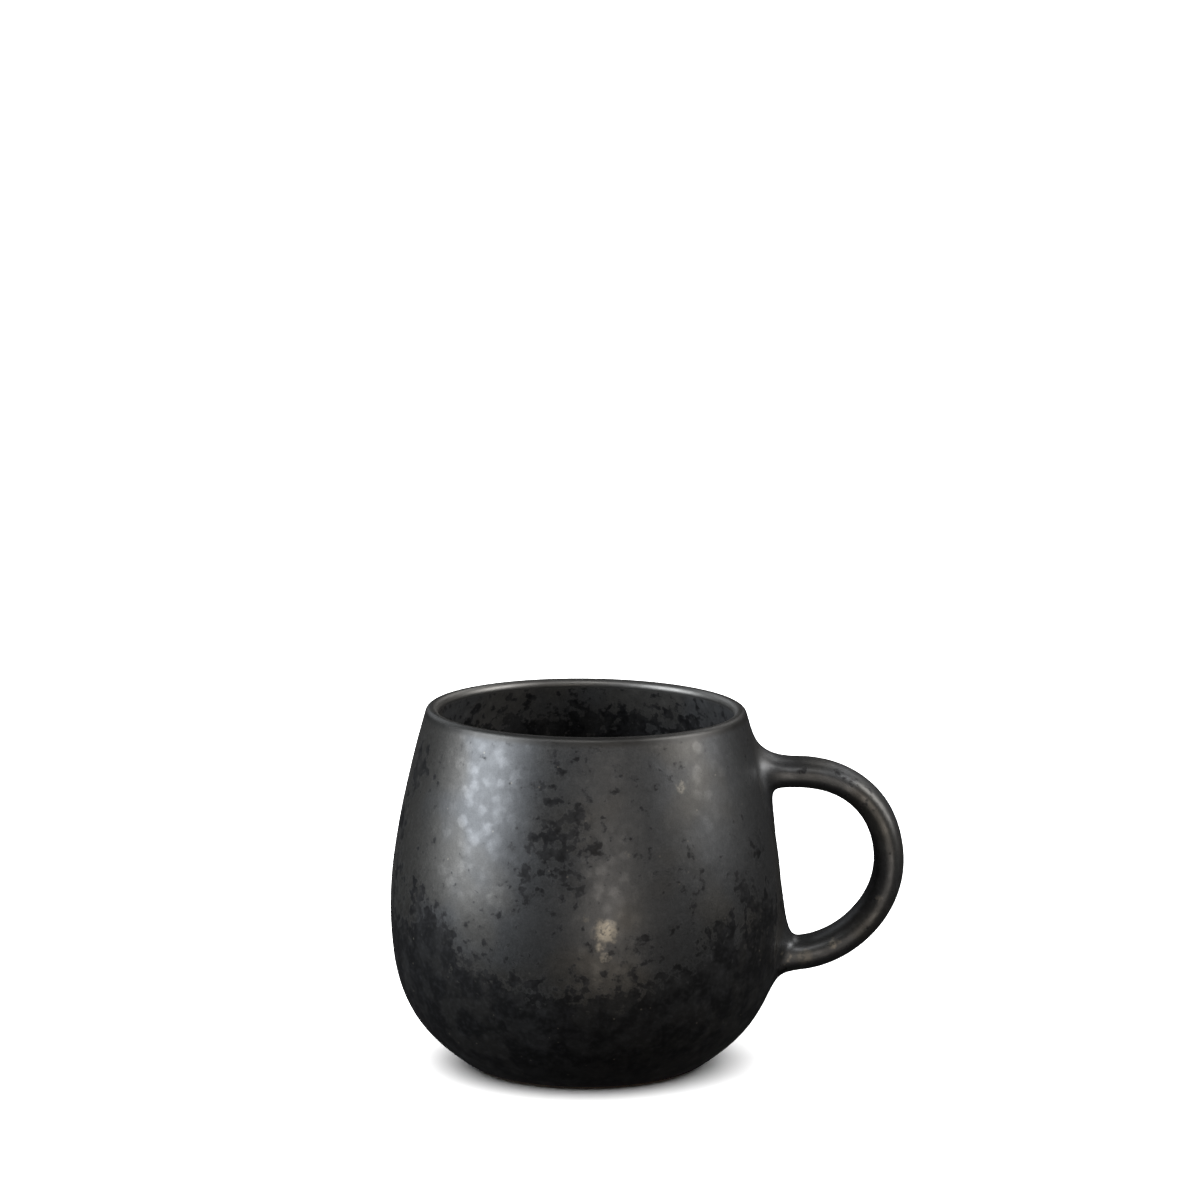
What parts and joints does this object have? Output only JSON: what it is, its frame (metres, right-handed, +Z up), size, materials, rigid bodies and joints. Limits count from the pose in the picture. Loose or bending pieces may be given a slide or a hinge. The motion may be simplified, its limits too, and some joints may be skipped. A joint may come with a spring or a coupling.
{
  "type": "ceramic mug",
  "caption": "Rounded stoneware mug with a loop strap handle luted to its side, a leaning-in lip, a turned foot ring and a dark satin reactive glaze.",
  "frame": {"origin": "on the surface the mug stands on, under the middle of its bounding box; the cup's own axis stands 14.92 mm towards -X from it", "axes": "+Z up along the cup's axis, out of its mouth; +X from the cup towards the handle"},
  "size_m": [0.1258, 0.096, 0.0884],
  "materials": {
    "stoneware": "matte",
    "slip": "matte",
    "reactive_glaze": "satin",
    "liner_glaze": "gloss"
  },
  "bodies": {
    "root": {"cup_body": "stoneware", "handle": "stoneware", "upper_slip_joint": "slip", "lower_slip_joint": "slip", "outer_glaze": "reactive_glaze", "handle_glaze": "reactive_glaze", "inner_glaze": "liner_glaze", "foot_glaze": "liner_glaze"}
  },
  "joints": []
}
